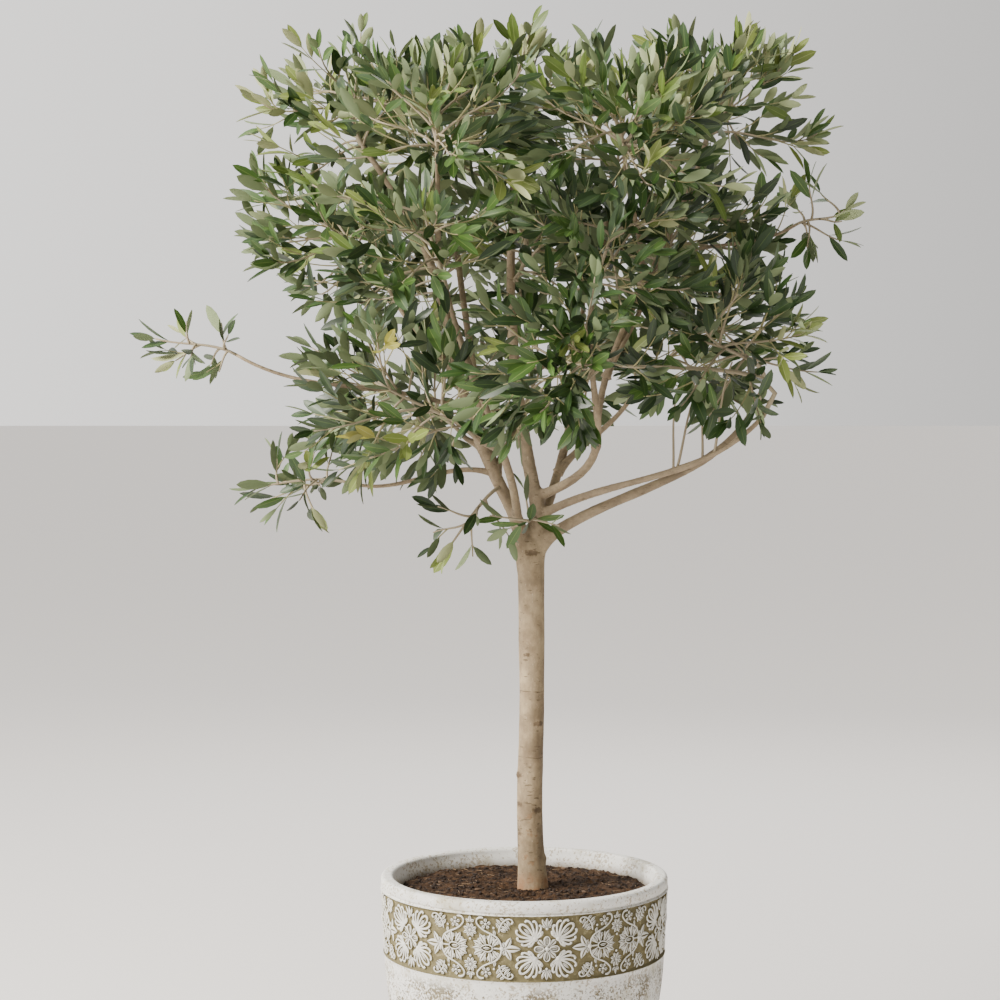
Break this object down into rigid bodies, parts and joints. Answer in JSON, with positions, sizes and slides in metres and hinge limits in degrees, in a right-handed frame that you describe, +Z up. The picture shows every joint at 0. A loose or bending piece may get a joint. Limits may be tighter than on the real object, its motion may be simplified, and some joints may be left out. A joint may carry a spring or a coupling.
{
  "type": "potted olive tree",
  "caption": "Standard olive tree with a clear stem and a broad open crown, planted in a round pale stone-effect pot with a band of relief ornament under its rim.",
  "frame": {"origin": "centre of the pot's flat underside", "axes": "+Z up along the trunk, +X to the right of the tree seen from its front, -Y towards its front"},
  "size_m": [0.9756, 0.7427, 1.5014],
  "materials": {
    "stone_effect": "matt off-white cement with stained patches",
    "compost": "matt and crumbly",
    "bark": "matt, fine rough bark",
    "foliage": "half-gloss leaves"
  },
  "bodies": {
    "root": {"pot": "stone_effect", "soil": "compost", "trunk": "bark", "bough_leader": "bark", "bough_left": "bark", "bough_low_right": "bark", "bough_upper_right": "bark", "bough_mid_right": "bark", "bough_upright_right": "bark", "bough_back_right": "bark", "bough_back_left": "bark", "bough_front": "bark", "bough_top_front_left": "bark", "bough_top_front_right": "bark", "bough_middle_right": "bark", "bough_middle_back_right": "bark", "bough_middle_back_left": "bark", "bough_middle_left": "bark", "bough_low_back": "bark", "bough_low_left_back": "bark", "bough_low_left_front": "bark", "bough_low_front": "bark", "bough_stray_left": "bark", "bough_drooping_left": "bark", "bough_right_sprig": "bark", "foliage_top_right": "foliage", "foliage_top_back_right": "foliage", "foliage_top_back_left": "foliage", "foliage_top_left": "foliage", "foliage_top_front_left": "foliage", "foliage_top_front_right": "foliage", "foliage_middle_right": "foliage", "foliage_middle_back_right": "foliage", "foliage_middle_back_left": "foliage", "foliage_middle_left": "foliage", "foliage_middle_front_left": "foliage", "foliage_middle_front_right": "foliage", "foliage_low_right_back": "foliage", "foliage_low_back": "foliage", "foliage_low_left_back": "foliage", "foliage_low_left_front": "foliage", "foliage_low_front": "foliage", "foliage_low_right_front": "foliage", "foliage_top_centre": "foliage", "foliage_heart": "foliage", "foliage_stray_left": "foliage", "foliage_drooping_left": "foliage", "foliage_hanging": "foliage", "foliage_fork_sprig": "foliage", "foliage_right_sprig": "foliage"}
  },
  "joints": []
}
